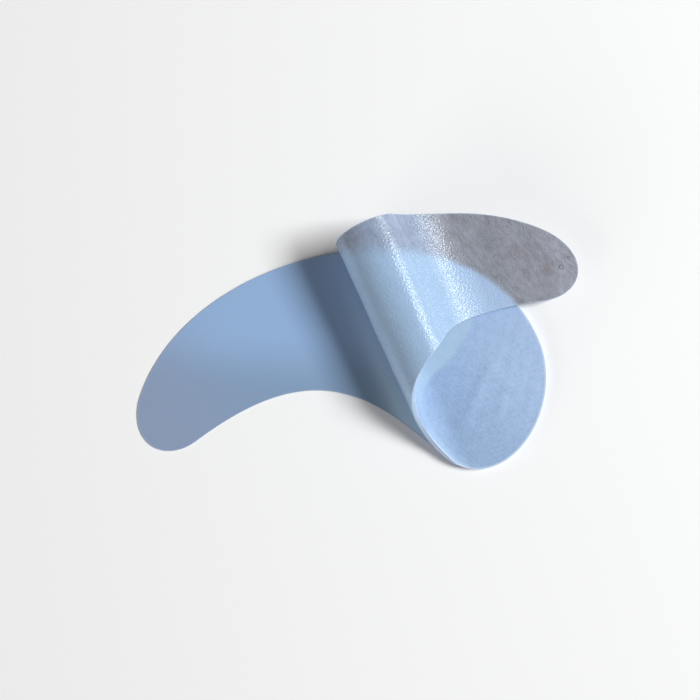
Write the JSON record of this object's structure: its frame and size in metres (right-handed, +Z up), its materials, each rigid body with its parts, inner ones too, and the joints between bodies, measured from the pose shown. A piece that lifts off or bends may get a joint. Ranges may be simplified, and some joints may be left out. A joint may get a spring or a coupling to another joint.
{
  "type": "under-eye patch",
  "caption": "Crescent gel pad with a nonwoven back, half peeled from its flat release liner and rolled back over itself, gel side up.",
  "frame": {"origin": "on the surface the patch rests on, under the middle of the object's box", "axes": "+Z up, +X from the bare end of the liner to the covered end, +Y towards the convex outer edge"},
  "size_m": [0.0746, 0.0432, 0.0112],
  "materials": {
    "liner_film": "satin release film, light blue grey",
    "hydrogel": "wet gloss, translucent, light blue",
    "nonwoven_fabric": "matte fibre web, light blue"
  },
  "bodies": {
    "root": {"release_liner": "liner_film", "hydrogel_layer": "hydrogel", "nonwoven_backing": "nonwoven_fabric"}
  },
  "joints": []
}
